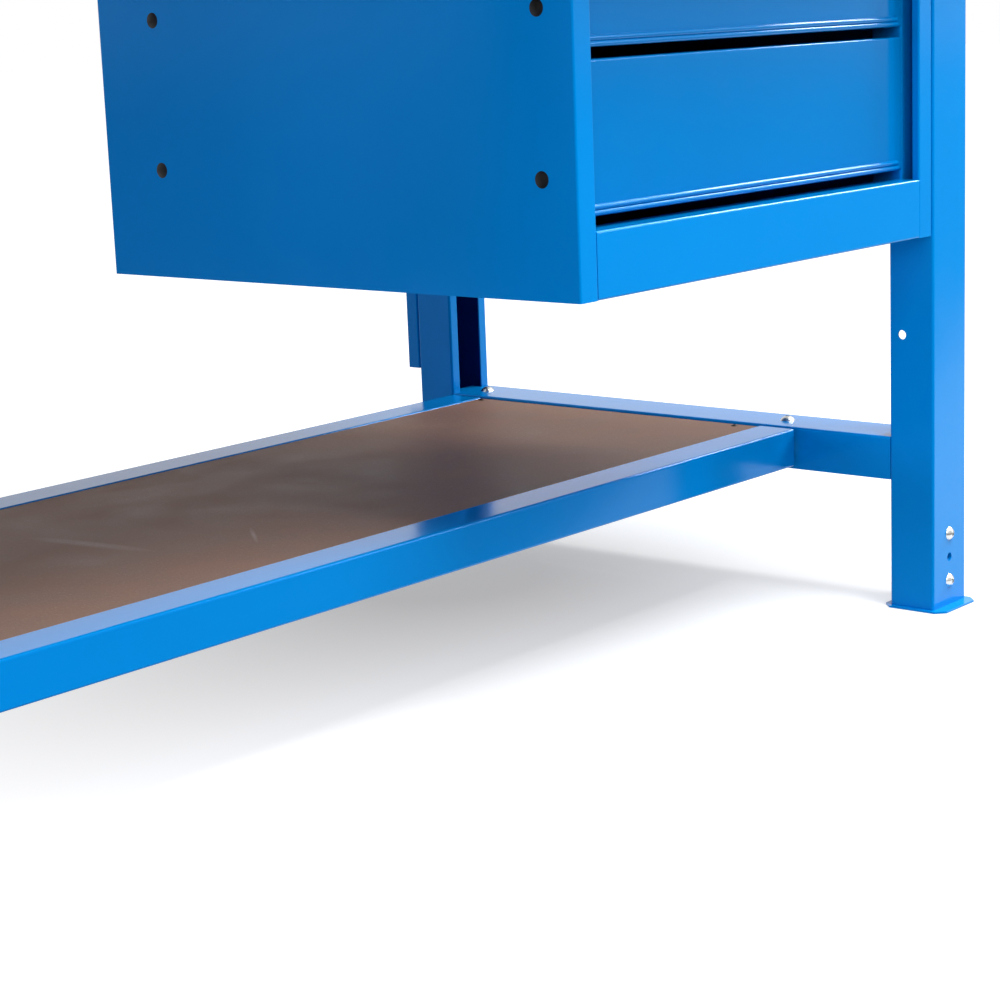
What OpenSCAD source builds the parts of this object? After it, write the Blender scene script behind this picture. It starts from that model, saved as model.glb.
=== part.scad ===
// Workshop bench with two leg frames, a low shelf, a three-drawer housing and a tool panel on rear posts.
// Millimetres, +Z up, origin on the floor under the middle of the whole bench, front towards -Y.

/* [Worktop] */
// Length of the worktop
top_l = 1500; // [1300:10:1800]
// Height of the work surface with the feet at their lowest
top_height = 850; // [800:5:950]
// Thickness of the worktop with its hardboard
top_t = 40; // [30:1:50]
// Thickness of the hardboard on the worktop
top_skin_t = 3.2; // [2:0.2:5]
// Thickness of the edging around the worktop
edging_t = 2; // [1:0.5:3]
// How far the worktop reaches past each leg frame
end_overhang = 22; // [15:0.5:50]
// How far the worktop reaches in front of the legs
front_overhang = 100; // [40:5:130]

/* [Leg frames] */
// Depth of a leg frame, front face to back face
frame_d = 700; // [620:5:800]
// Width of a leg's face
leg_w = 66; // [60:0.5:75]
// Depth of a leg's sides
leg_d = 51; // [45:0.5:55]
// Width of each lip beside a leg's slot
leg_lip = 13; // [10:0.5:15]
// Thickness of the leg's steel
leg_t = 2; // [1.5:0.1:2.4]
// Outer radius of the leg's bends
leg_r = 2.6; // [2.5:0.1:4]
// Diameter of the accessory hole in a front leg's side
side_hole_d = 9.5; // [8:0.5:12]
// Height of the accessory hole above the floor
side_hole_z = 287.6; // [240:0.1:360]
// Distance of the accessory hole behind the front leg's closed face
side_hole_in = 36.5; // [30:0.5:40]
// Width of the cross rails, front view
rail_w = 65.5; // [50:0.5:65.5]
// Height of the cross rails
rail_h = 45.1; // [40:0.1:50]
// Thickness of the cross rails' steel
rail_t = 2; // [1.5:0.1:2.4]
// Outer radius of the cross rails' bends
rail_r = 2.6; // [2.5:0.1:4]
// Height of the lower cross rails' underside
lower_rail_z = 135.5; // [125:0.1:145]
// Depth of the rear beam's section
beam_d = 40; // [32:1:44]
// Height of the rear beam's section
beam_h = 60; // [50:1:70]

/* [Feet] */
// Width of a foot plate
foot_w = 75.5; // [72:0.5:90]
// Depth of a foot plate
foot_l = 72.5; // [68:0.5:84]
// How far a foot plate reaches past the leg's closed face
foot_front = 13; // [8:1:13]
// Thickness of a foot plate
foot_t = 2; // [2:0.5:4]
// Size of a foot plate's cut corners
foot_corner = 9.5; // [5:0.5:15]
// Thickness of the bracket inside the leg
bracket_t = 3; // [2:0.5:3.5]
// Number of tapped holes in the bracket
bracket_rows = 6; // [5:1:7]
// Height of the lowest foot screw above the floor
foot_screw_z = 27.8; // [22:0.1:30]
// Distance between the foot's holes
foot_pitch = 25; // [20:1:25]

/* [Shelf] */
// Distance of the shelf behind the legs' front faces
shelf_front = 164.7; // [140:0.1:180]
// Distance of the shelf in front of the legs' back faces
shelf_rear = 54.1; // [45:0.1:120]
// Height of the shelf's underside above the cross rails' underside
shelf_rise = 3.7; // [0:0.1:5]
// Height of the shelf's rails
shelf_h = 40.5; // [36:0.5:42]
// Width of the shelf rails' top flanges
shelf_flange = 45; // [40:0.5:55]
// Thickness of the shelf rails' steel
shelf_t = 1.5; // [1.2:0.1:2]
// Outer radius of the shelf rails' bends
shelf_r = 2.5; // [2.2:0.1:3]
// Gap between each end of the shelf and the cross rail
shelf_gap = 6; // [2:0.5:8]
// Thickness of the shelf's hardboard
board_t = 6; // [4:0.5:8]
// How far the hardboard lies below the rails' top flanges
board_drop = 1; // [1:0.5:4]

/* [Drawer housing] */
// Width of the housing
housing_w = 569.8; // [520:0.1:600]
// Distance of the housing in front of the legs' back faces
housing_rear = 124.6; // [60:0.1:150]
// Height of the housing
housing_h = 419.9; // [400:0.1:440]
// Gap between the housing and the leg
housing_gap = 3.5; // [3:0.5:15]
// Thickness of the housing's steel
housing_t = 1.2; // [1:0.1:1.5]
// Outer radius of the housing's bends
housing_r = 2; // [1.8:0.1:3]
// Width of the flanges beside the drawers
flange_w = 24; // [20:0.5:28]
// Height of the front rail under the drawers
front_rail_h = 57.8; // [50:0.1:65]
// Depth of the front rail's lip
front_lip = 33; // [22:1:40]
// Height of the front rail above the drawers
top_rail_h = 20; // [16:1:30]

/* [Drawers] */
// Gap under each drawer front
front_gap = 10; // [6:0.5:14]
// Gap beside each drawer front
side_gap = 3; // [2:0.5:5]
// How far the drawer fronts lie behind the flanges' faces
front_recess = 18; // [14:0.5:20]
// Depth of a drawer front
front_d = 18; // [15:0.5:22]
// Height of the two upper drawer fronts
small_front_h = 90; // [80:1:95]
// Radius of the beads along a drawer front's lower edge
bead_r = 2.5; // [1.5:0.1:3]
// Gap between a drawer tray and the housing's back face
tray_rear = 39.4; // [10:0.1:80]
// Thickness of the tray's steel
tray_t = 1; // [0.8:0.1:1.5]
// Height of a slide
slide_h = 45; // [40:1:46]
// Thickness of a slide
slide_w = 12.7; // [12:0.1:14]
// Gap between a slide and the housing's back face
slide_rear = 37.4; // [15:0.1:60]

/* [Posts and tool panels] */
// Height of the posts' lower ends
post_z = 207; // [190:1:260]
// How far the posts reach above the upper tool panel
post_over = 28; // [5:1:60]
// Width of a post
post_w = 60; // [50:1:62]
// Depth of a post
post_d = 17; // [14:0.5:25]
// Gap between the worktop and the lower tool panel
panel_gap = 30; // [10:1:60]
// Height of each of the two tool panels
panel_h = 270; // [200:1:300]
// Depth of the tool panels
panel_d = 15; // [12:0.5:20]
// Size of the tool panels' square holes
panel_hole = 10; // [8:0.5:12]
// Distance between the tool panels' holes
panel_pitch = 38; // [35:1:50]

/* [Hidden] */
$fn = 48;

// Finishes
paint = "#0a86d8";
zinc = "#c9ccd0";
hardboard = "#7d685c";
chipboard = "#c8ac7c";
black = "#17181a";

// How far cuts run past the faces that they open
overrun = 4;

// Places that the whole bench follows
x_out = top_l / 2 - end_overhang;
x_in = x_out - leg_w;
y_front = front_overhang - (front_overhang + frame_d + post_d) / 2;
y_back = y_front + frame_d;
under_top = top_height - top_t;
drawer_count = 3;

// Screws and bolts: their play in what they screw into, and in the holes that they pass through
thread_play = 0.2;
bolt_play = 1;
sheet_play = 0.4;
screw_d = 8;
bolt_hole_d = screw_d + bolt_play;
tapped_d = screw_d + thread_play;
button_head_d = 14;
button_head_h = 4.4;
dome_head_d = 16;
dome_head_h = 5;
socket_share = 0.36;
socket_depth_share = 0.55;
nut_across = 13;
nut_h = 6.5;
bolt_end = 2;
foot_screw_l = 10;

// Feet: the bracket's sides and bends, its play in the leg, and what stands above the last hole
bracket_side = 28;
bracket_r = 4;
bracket_play = 0.5;
bracket_end = 12;
leg_hole_rows = 3;

// Cross rails: tongues that reach through the legs' slots
tongue_l = 15;
tongue_play = 0.5;

// Rear beam
beam_t = 2;
beam_r = 3;
beam_plate_t = 3;
beam_bolt_pitch = 30;
beam_z = under_top - beam_h;
beam_y = y_back - leg_d / 2;

// Shelf
shelf_half = x_in - shelf_gap;
shelf_d = frame_d - shelf_front - shelf_rear;
shelf_lower_flange = 30;
shelf_inner_h = 28;
board_play = 0.5;
shelf_z = lower_rail_z + shelf_rise;
board_top_z = shelf_z + shelf_h - board_drop;
board_y = y_front + shelf_front + shelf_flange;
board_d = shelf_d - 2 * shelf_flange;
bearer_w = 30;
bearer_h = 20;
bearer_t = 1.5;
bearer_r = 2.5;
bearer_count = 4;
board_screw_d = 4;
board_screw_hole_d = board_screw_d + sheet_play;
board_screw_head_d = 8;
board_screw_head_h = 1.6;
board_screw_end = 8;
board_screw_front = 25.6;
board_screw_rear = 8.1;
hanger_w = 30;
hanger_t = 3;
hanger_reach = 50;
hanger_play = 0.3;
hanger_front_in = 33;
hanger_rear_in = 23.2;
hanger_ys = [y_front + shelf_front + hanger_front_in, y_front + shelf_front + shelf_d - hanger_rear_in];

// Worktop screws
wood_screw_d = 5;
pilot_hole_d = wood_screw_d + thread_play;
sheet_hole_d = wood_screw_d + bolt_play;
wood_head_d = 10;
wood_head_h = 3;
wood_screw_l = 25;
rail_screw_in = 60;
beam_screw_count = 4;
beam_screw_spacing = 380;
housing_screw_shares = [0.21, 0.5, 0.75];
housing_screw_in = 12;

// Housing and drawers
housing_x0 = x_in - housing_gap - housing_w;
housing_x1 = x_in - housing_gap;
housing_d = frame_d - housing_rear;
side_z = under_top - housing_h;
housing_z = side_z + housing_t;
flange_return = 7.5;
side_floor_w = 40;
front_rail_foot = 20;
top_rail_lip = 12;
carrier_w = 34;
carrier_t = 1.5;
carrier_r = 2.5;
carrier_front_y = 37.1;
carrier_rear_in = 76.4;
carrier_rear_y = housing_d - carrier_rear_in;
opening_z = side_z + front_rail_h;
opening_top = under_top - top_rail_h;
top_gap = 3;
plug_head_d = 14.5;
plug_head_h = 1.5;
plug_hole_d = 10;
plug_stem_d = plug_hole_d - sheet_play;
plug_stem_l = 5;
front_back_lip = 22;
bead_pitch = 4.8;
bead_end = 10;
slide_up = 33.5;
slide_front = 2;
slide_l = housing_d - front_recess - front_d - slide_front - slide_rear;
slide_steel = 1.2;
slide_play = 0.3;
race_h = 3.7;
outer_lip = 9;
middle_in = 2.5;
inner_in = 5;
tray_l = housing_d - front_recess - front_d - tray_rear;
tray_floor_up = 4;
tray_top_down = 15;

// Posts and tool panels
post_t = 2;
post_r = 2.5;
post_bolt_in = 32;
post_bolt_count = 3;
post_top = top_height + panel_gap + 2 * panel_h + post_over;
panel_t = 1.25;
panel_flange = 20;
panel_margin = 24;
panel_screw_d = 6;
panel_screw_hole_d = panel_screw_d + sheet_play;
panel_head_d = 10.5;
panel_head_h = 3.3;
panel_nut_across = 10;
panel_nut_h = 5;
panel_screw_in = 40;
panel_half = x_in + post_w;

function small_fronts_h(n) = n * (small_front_h + front_gap);
function front_h(i) = i > 0 ? small_front_h
    : opening_top - opening_z - front_gap - top_gap - small_fronts_h(drawer_count - 1);
function front_z(i) = opening_z + front_gap + (i > 0 ? front_h(0) + front_gap + small_fronts_h(i - 1) : 0);
function slide_z(i) = front_z(i) + slide_up;
function bearer_x(i) = -shelf_half + i * (2 * shelf_half - bearer_w) / (bearer_count - 1);
function post_bolt_z(i) = post_z + post_bolt_in
    + i * (under_top - post_z - 2 * post_bolt_in) / (post_bolt_count - 1);
function panel_z(i) = top_height + panel_gap + i * panel_h;
function panel_columns() = floor((2 * panel_half - 2 * panel_margin - panel_hole) / panel_pitch);
function panel_rows() = floor((panel_h - 2 * panel_margin - panel_hole) / panel_pitch);

// Outlines and directions

// Rectangle with rounded corners
module rounded(w, d, r) {
    translate([r, 0])
        square([w - 2 * r, d]);
    translate([0, r])
        square([w, d - 2 * r]);
    for (x = [r, w - r], y = [r, d - r])
        translate([x, y])
            circle(r);
}

// Closed section of bent sheet
module folded(w, d, t, r) {
    difference() {
        rounded(w, d, r);
        translate([t, t])
            rounded(w - 2 * t, d - 2 * t, r - t);
    }
}

// Section of a C with lips, its closed face on Y = 0 and its slot on the other side
module lipped(w, d, lip, t, r) {
    difference() {
        folded(w, d, t, r);
        translate([lip, d - t - overrun])
            square([w - 2 * lip, t + 2 * overrun]);
    }
}

// Section of a channel that is open at the bottom
module channel(w, h, t, r) {
    intersection() {
        translate([0, -r])
            folded(w, h + r, t, r);
        square([w, h]);
    }
}

// Section of a C with its wall on the left and a flange at the top and bottom
module c_section(top, bottom, h, t, r) {
    intersection() {
        folded(2 * max(top, bottom), h, t, r);
        union() {
            translate([0, h / 2])
                square([top, h / 2]);
            square([bottom, h / 2]);
        }
    }
}

// Extrudes an outline of X and Z along Y
module along_y(l) {
    translate([0, l, 0])
        rotate([90, 0, 0])
            linear_extrude(l)
                children();
}

// Extrudes an outline of Y and Z along X
module along_x(l) {
    rotate([90, 0, 90])
        linear_extrude(l)
            children();
}

// Places what is drawn against a leg's closed face and inner side at one of the four legs
module at_leg(rear = false, left = false) {
    mirror([left ? 1 : 0, 0, 0])
        translate([rear ? x_out : x_in, rear ? y_back : y_front, 0])
            rotate([0, 0, rear ? 180 : 0])
                children();
}

// The same thing at both ends of the bench
module both_ends() {
    children();
    mirror([1, 0, 0])
        children();
}

// Places what is drawn from the outer face of the housing's left or right side
module at_housing_side(right = false) {
    translate([right ? housing_x1 : housing_x0, y_front, 0])
        mirror([right ? 1 : 0, 0, 0])
            children();
}

// Fasteners

// Low domed head with a hexagon socket, seated on Z = 0
module domed_head(d, h) {
    ball_r = (d * d / 4 + h * h) / (2 * h);
    difference() {
        intersection() {
            translate([0, 0, h - ball_r])
                sphere(ball_r);
            cylinder(h = h, d = d);
        }
        translate([0, 0, h - h * socket_depth_share])
            cylinder(h = h, d = d * socket_share, $fn = 6);
    }
}

// Screw with its head above Z = 0
module screw(d, l, head_d, head_h) {
    domed_head(head_d, head_h);
    translate([0, 0, -l])
        cylinder(h = l, d = d);
}

// Bolt through a stack of sheets of thickness grip, with its nut below
module bolt(d, grip, head_d, head_h, nut_w, nut_t) {
    screw(d, grip + nut_t + bolt_end, head_d, head_h);
    translate([0, 0, -grip - nut_t])
        difference() {
            cylinder(h = nut_t, d = nut_w / cos(30), $fn = 6);
            translate([0, 0, -overrun])
                cylinder(h = nut_t + 2 * overrun, d = d + thread_play);
        }
}

// Legs and feet

// Lipped C-profile with its holes, closed face on Y = 0 and inner side on X = 0
module leg(rear = false) {
    difference() {
        translate([0, 0, foot_t])
            linear_extrude(under_top - foot_t)
                lipped(leg_w, leg_d, leg_lip, leg_t, leg_r);
        for (row = [0 : leg_hole_rows - 1])
            translate([leg_w / 2, -overrun, foot_screw_z + row * foot_pitch])
                rotate([-90, 0, 0])
                    cylinder(h = leg_t + 2 * overrun, d = bolt_hole_d);
        if (!rear)
            translate([-overrun, side_hole_in, side_hole_z])
                rotate([0, 90, 0])
                    cylinder(h = leg_t + 2 * overrun, d = side_hole_d);
        if (rear) {
            for (i = [0 : post_bolt_count - 1])
                translate([leg_w - post_w / 2, -overrun, post_bolt_z(i)])
                    rotate([-90, 0, 0])
                        cylinder(h = leg_t + 2 * overrun, d = bolt_hole_d);
            for (z = [-beam_bolt_pitch, beam_bolt_pitch] / 2)
                translate([leg_w - leg_t - overrun, leg_d / 2, beam_z + beam_h / 2 + z])
                    rotate([0, 90, 0])
                        cylinder(h = leg_t + 2 * overrun, d = bolt_hole_d);
        }
    }
}

module leg_front_right() {
    color(paint)
        at_leg()
            leg();
}

module leg_rear_right() {
    color(paint)
        at_leg(rear = true)
            leg(rear = true);
}

module leg_front_left() {
    color(paint)
        at_leg(left = true)
            leg();
}

module leg_rear_left() {
    color(paint)
        at_leg(rear = true, left = true)
            leg(rear = true);
}

// Floor plate with cut corners and the tapped bracket that slides inside the leg
module foot() {
    side_over = (foot_w - leg_w) / 2;
    wide = leg_w - 2 * leg_t - 2 * bracket_play;
    high = foot_screw_z - foot_t + (bracket_rows - 1) * foot_pitch + bracket_end;
    translate([-side_over, -foot_front, 0])
        linear_extrude(foot_t)
            polygon([
                [foot_corner, 0],
                [foot_w - foot_corner, 0],
                [foot_w, foot_corner],
                [foot_w, foot_l - foot_corner],
                [foot_w - foot_corner, foot_l],
                [foot_corner, foot_l],
                [0, foot_l - foot_corner],
                [0, foot_corner]
            ]);
    difference() {
        translate([leg_t + bracket_play, leg_t + bracket_side, foot_t])
            mirror([0, 1, 0])
                linear_extrude(high)
                    channel(wide, bracket_side, bracket_t, bracket_r);
        for (row = [0 : bracket_rows - 1])
            translate([leg_w / 2, leg_t - overrun, foot_screw_z + row * foot_pitch])
                rotate([-90, 0, 0])
                    cylinder(h = bracket_t + 2 * overrun, d = tapped_d);
    }
}

module foot_front_right() {
    color(paint)
        at_leg()
            foot();
}

module foot_rear_right() {
    color(paint)
        at_leg(rear = true)
            foot();
}

module foot_front_left() {
    color(paint)
        at_leg(left = true)
            foot();
}

module foot_rear_left() {
    color(paint)
        at_leg(rear = true, left = true)
            foot();
}

module foot_screws() {
    color(zinc)
        for (rear = [false, true], left = [false, true], row = [0 : 2 : leg_hole_rows - 1])
            at_leg(rear = rear, left = left)
                translate([leg_w / 2, 0, foot_screw_z + row * foot_pitch])
                    rotate([90, 0, 0])
                        screw(screw_d, foot_screw_l, button_head_d, button_head_h);
}

// Cross rails, rear beam and frame bolts

// Channel between the legs with tongues through their slots, drawn at the right-hand end
module cross_rail(z) {
    span = frame_d - 2 * leg_d;
    translate([x_in, y_front + leg_d, z]) {
        along_y(span)
            channel(rail_w, rail_h, rail_t, rail_r);
        translate([leg_lip + tongue_play, -tongue_l, rail_h - rail_t])
            cube([leg_w - 2 * leg_lip - 2 * tongue_play, span + 2 * tongue_l, rail_t]);
    }
}

module lower_rail() {
    difference() {
        cross_rail(lower_rail_z);
        for (y = hanger_ys) {
            translate([x_in + rail_w / 2, y, lower_rail_z + rail_h - rail_t - overrun])
                cylinder(h = rail_t + 2 * overrun, d = bolt_hole_d);
            translate([x_in - overrun, y - hanger_w / 2 - hanger_play, lower_rail_z - overrun])
                cube([
                    overrun + rail_t + hanger_play,
                    hanger_w + 2 * hanger_play,
                    overrun + shelf_z + hanger_play - lower_rail_z
                ]);
        }
    }
}

module upper_rail() {
    difference() {
        cross_rail(under_top - rail_h);
        rail_screw_places()
            translate([0, 0, -rail_t - overrun])
                cylinder(h = rail_t + 2 * overrun, d = sheet_hole_d);
    }
}

module lower_rail_right() {
    color(paint)
        lower_rail();
}

module lower_rail_left() {
    color(paint)
        mirror([1, 0, 0])
            lower_rail();
}

module upper_rail_right() {
    color(paint)
        upper_rail();
}

module upper_rail_left() {
    color(paint)
        mirror([1, 0, 0])
            upper_rail();
}

module rear_beam() {
    color(paint)
        difference() {
            translate([-x_in, beam_y - beam_d / 2, beam_z]) {
                along_x(2 * x_in)
                    channel(beam_d, beam_h, beam_t, beam_r);
                for (x = [0, 2 * x_in - beam_plate_t])
                    translate([x, beam_t / 2, 0])
                        cube([beam_plate_t, beam_d - beam_t, beam_h - beam_t / 2]);
            }
            both_ends()
                for (z = [-beam_bolt_pitch, beam_bolt_pitch] / 2)
                    translate([x_in - beam_plate_t - overrun, beam_y, beam_z + beam_h / 2 + z])
                        rotate([0, 90, 0])
                            cylinder(h = beam_plate_t + 2 * overrun, d = bolt_hole_d);
            beam_screw_places()
                translate([0, 0, -beam_t - overrun])
                    cylinder(h = beam_t + 2 * overrun, d = sheet_hole_d);
        }
}

module frame_bolts() {
    color(zinc)
        both_ends() {
            for (y = hanger_ys)
                translate([x_in + rail_w / 2, y, lower_rail_z + rail_h])
                    bolt(screw_d, rail_t + hanger_t, dome_head_d, dome_head_h, nut_across, nut_h);
            for (z = [-beam_bolt_pitch, beam_bolt_pitch] / 2)
                translate([x_in - beam_plate_t, beam_y, beam_z + beam_h / 2 + z])
                    rotate([0, -90, 0])
                        bolt(screw_d, beam_plate_t + leg_t, dome_head_d, dome_head_h, nut_across, nut_h);
            for (i = [0 : post_bolt_count - 1])
                translate([x_in + post_w / 2, y_back + post_t, post_bolt_z(i)])
                    rotate([-90, 0, 0])
                        bolt(screw_d, post_t + leg_t, dome_head_d, dome_head_h, nut_across, nut_h);
        }
}

// Shelf

// Front wall, top flange with its turned-down edge, and a short lower flange
module shelf_section() {
    intersection() {
        folded(shelf_flange, shelf_h, shelf_t, shelf_r);
        union() {
            square([shelf_lower_flange, shelf_h]);
            translate([0, shelf_h - shelf_inner_h])
                square([shelf_flange, shelf_inner_h]);
        }
    }
}

module shelf_rail_front() {
    color(paint)
        translate([-shelf_half, y_front + shelf_front, shelf_z])
            along_x(2 * shelf_half)
                shelf_section();
}

module shelf_rail_rear() {
    color(paint)
        translate([-shelf_half, y_front + shelf_front + shelf_d, shelf_z])
            mirror([0, 1, 0])
                along_x(2 * shelf_half)
                    shelf_section();
}

// Cross members that carry the hardboard
module shelf_bearers() {
    color(paint)
        difference() {
            for (i = [0 : bearer_count - 1])
                translate([bearer_x(i), board_y, board_top_z - board_t - bearer_h])
                    along_y(board_d)
                        channel(bearer_w, bearer_h, bearer_t, bearer_r);
            board_screw_places()
                translate([0, 0, -board_t - bearer_t - overrun])
                    cylinder(h = bearer_t + 2 * overrun, d = board_screw_hole_d);
        }
}

module board_screw_places() {
    both_ends()
        for (y = [board_screw_front, board_d - board_screw_rear])
            translate([shelf_half - board_screw_end, board_y + y, board_top_z])
                children();
}

module shelf_board() {
    color(hardboard)
        difference() {
            translate([-shelf_half, board_y + board_play, board_top_z - board_t])
                cube([2 * shelf_half, board_d - 2 * board_play, board_t]);
            board_screw_places()
                translate([0, 0, -board_t - overrun])
                    cylinder(h = board_t + 2 * overrun, d = board_screw_hole_d);
        }
}

module shelf_board_screws() {
    color(zinc)
        board_screw_places()
            screw(board_screw_d, board_t + bearer_t + bolt_end, board_screw_head_d, board_screw_head_h);
}

// Cranked strips under the shelf rails' ends that hang from the tops of the lower cross rails
module shelf_hangers() {
    riser_x = x_in + rail_r + hanger_play;
    seat_z = lower_rail_z + rail_h - rail_t;
    color(paint)
        both_ends()
            for (y = hanger_ys)
                difference() {
                    translate([0, y - hanger_w / 2, 0]) {
                        translate([shelf_half - hanger_reach, 0, shelf_z - hanger_t])
                            cube([riser_x + hanger_t - shelf_half + hanger_reach, hanger_w, hanger_t]);
                        translate([riser_x, 0, shelf_z - hanger_t])
                            cube([hanger_t, hanger_w, seat_z - shelf_z + hanger_t]);
                        translate([riser_x, 0, seat_z - hanger_t])
                            cube([x_in + rail_w / 2 + hanger_w / 2 - riser_x, hanger_w, hanger_t]);
                    }
                    translate([x_in + rail_w / 2, y, seat_z - hanger_t - overrun])
                        cylinder(h = hanger_t + 2 * overrun, d = bolt_hole_d);
                }
}

// Worktop

module rail_screw_places() {
    span = frame_d - 2 * leg_d;
    for (y = [rail_screw_in, span / 2, span - rail_screw_in])
        translate([x_in + rail_w / 2, y_front + leg_d + y, under_top])
            children();
}

module beam_screw_places() {
    for (i = [0 : beam_screw_count - 1])
        translate([(i - (beam_screw_count - 1) / 2) * beam_screw_spacing, beam_y, under_top])
            children();
}

module housing_screw_places() {
    for (right = [false, true], y = housing_screw_shares * housing_d)
        at_housing_side(right)
            translate([housing_screw_in, y, under_top])
                children();
}

module worktop_board() {
    color(chipboard)
        difference() {
            translate([-top_l / 2 + edging_t, y_front - front_overhang + edging_t, under_top])
                cube([
                    top_l - 2 * edging_t,
                    front_overhang + frame_d - 2 * edging_t,
                    top_t - top_skin_t
                ]);
            worktop_pilot_holes();
        }
}

module worktop_pilot_holes() {
    translate([0, 0, -overrun])
        for (group = [0 : 2])
            worktop_screw_places(group)
                cylinder(h = overrun + wood_screw_l, d = pilot_hole_d);
}

// Group 0 goes up through the upper cross rails, 1 through the rear beam and 2 through the housing's sides
module worktop_screw_places(group) {
    if (group == 0)
        both_ends()
            rail_screw_places()
                children();
    if (group == 1)
        beam_screw_places()
            children();
    if (group == 2)
        housing_screw_places()
            children();
}

module worktop_hardboard() {
    color(hardboard)
        translate([-top_l / 2 + edging_t, y_front - front_overhang + edging_t, top_height - top_skin_t])
            cube([top_l - 2 * edging_t, front_overhang + frame_d - 2 * edging_t, top_skin_t]);
}

// Strips glued round the board: the front and rear ones run the whole length
module worktop_edging() {
    deep = front_overhang + frame_d;
    color(black)
        translate([-top_l / 2, y_front - front_overhang, under_top]) {
            for (y = [0, deep - edging_t])
                translate([0, y, 0])
                    cube([top_l, edging_t, top_t]);
            for (x = [0, top_l - edging_t])
                translate([x, edging_t, 0])
                    cube([edging_t, deep - 2 * edging_t, top_t]);
        }
}

module worktop_screws() {
    plates = [rail_t, beam_t, housing_t];
    color(zinc)
        for (group = [0 : 2])
            worktop_screw_places(group)
                translate([0, 0, -plates[group]])
                    mirror([0, 0, 1])
                        screw(
                            wood_screw_d,
                            wood_screw_l + plates[group] - bolt_end,
                            wood_head_d,
                            wood_head_h
                        );
}

// Posts and tool panels

module post() {
    difference() {
        translate([x_in, y_back + post_d, post_z])
            mirror([0, 1, 0])
                linear_extrude(post_top - post_z)
                    channel(post_w, post_d, post_t, post_r);
        for (i = [0 : post_bolt_count - 1])
            translate([x_in + post_w / 2, y_back - overrun, post_bolt_z(i)])
                rotate([-90, 0, 0])
                    cylinder(h = post_t + 2 * overrun, d = bolt_hole_d);
        panel_screw_places()
            translate([0, 0, -post_t - panel_t - overrun])
                cylinder(h = post_t + panel_t + 2 * overrun, d = panel_screw_hole_d);
    }
}

module post_right() {
    color(paint)
        post();
}

module post_left() {
    color(paint)
        mirror([1, 0, 0])
            post();
}

// Four places on the right-hand post's rear side, with Z to the rear
module panel_screw_places() {
    for (i = [0, 1], z = [panel_screw_in, panel_h - panel_screw_in])
        translate([panel_half - panel_flange / 2, y_back + post_t, panel_z(i) + z])
            rotate([-90, 0, 0])
                children();
}

// Shallow pan with square holes, its side flanges turned in against the posts
module tool_panel(i) {
    wide = 2 * panel_half;
    columns = panel_columns();
    rows = panel_rows();
    color(paint)
        difference() {
            translate([-panel_half, y_back - panel_d, panel_z(i)]) {
                rotate([90, 0, 0])
                    translate([0, 0, -panel_t])
                        linear_extrude(panel_t)
                            difference() {
                                square([wide, panel_h]);
                                translate([
                                    (wide - columns * panel_pitch - panel_hole) / 2,
                                    (panel_h - rows * panel_pitch - panel_hole) / 2
                                ])
                                    for (column = [0 : columns], row = [0 : rows])
                                        translate([column, row] * panel_pitch)
                                            square(panel_hole);
                            }
                for (z = [0, panel_h - panel_t])
                    translate([0, 0, z])
                        cube([wide, panel_d, panel_t]);
                for (x = [0, wide - panel_t])
                    translate([x, 0, 0])
                        cube([panel_t, panel_d, panel_h]);
                for (x = [0, wide - panel_flange])
                    translate([x, panel_d - panel_t, 0])
                        cube([panel_flange, panel_t, panel_h]);
            }
            both_ends()
                panel_screw_places()
                    translate([0, 0, -post_t - panel_t - overrun])
                        cylinder(h = panel_t + 2 * overrun, d = panel_screw_hole_d);
        }
}

module tool_panel_lower() {
    tool_panel(0);
}

module tool_panel_upper() {
    tool_panel(1);
}

module tool_panel_screws() {
    color(zinc)
        both_ends()
            panel_screw_places()
                bolt(
                    panel_screw_d,
                    post_t + panel_t,
                    panel_head_d,
                    panel_head_h,
                    panel_nut_across,
                    panel_nut_h
                );
}

// Drawer housing

// Plan of a side: front flange with its return, wall, and rear flange
module side_section() {
    intersection() {
        folded(flange_w, housing_d, housing_t, housing_r);
        square([flange_w, flange_return]);
    }
    intersection() {
        folded(2 * flange_w, housing_d, housing_t, housing_r);
        translate([0, housing_r])
            square([flange_w, housing_d - housing_r]);
    }
}

module housing_side() {
    difference() {
        union() {
            translate([0, 0, side_z])
                linear_extrude(under_top - side_z)
                    side_section();
            translate([0, front_rail_foot, side_z])
                cube([side_floor_w, housing_d - front_rail_foot - housing_r, housing_t]);
            translate([0, housing_r, under_top - housing_t])
                cube([flange_w, housing_d - 2 * housing_r, housing_t]);
        }
        plug_places()
            translate([-overrun, 0, 0])
                rotate([0, 90, 0])
                    cylinder(h = housing_t + 2 * overrun, d = plug_hole_d);
        for (y = housing_screw_shares * housing_d)
            translate([housing_screw_in, y, under_top - housing_t - overrun])
                cylinder(h = housing_t + 2 * overrun, d = sheet_hole_d);
    }
}

module plug_places() {
    for (i = [0 : drawer_count - 1], y = [carrier_front_y, carrier_rear_y])
        translate([0, y, slide_z(i)])
            children();
}

module housing_side_left() {
    color(paint)
        at_housing_side()
            housing_side();
}

module housing_side_right() {
    color(paint)
        at_housing_side(right = true)
            housing_side();
}

module housing_back() {
    color(paint)
        at_housing_side()
            translate([housing_r, housing_d - 2 * housing_t, housing_z + housing_t])
                cube([
                    housing_w - 2 * housing_r,
                    housing_t,
                    housing_h - 3 * housing_t
                ]);
}

module housing_floor() {
    color(paint)
        at_housing_side()
            translate([housing_r, front_rail_foot / 2, housing_z])
                cube([
                    housing_w - 2 * housing_r,
                    housing_d - front_rail_foot / 2 - housing_t,
                    housing_t
                ]);
}

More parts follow.
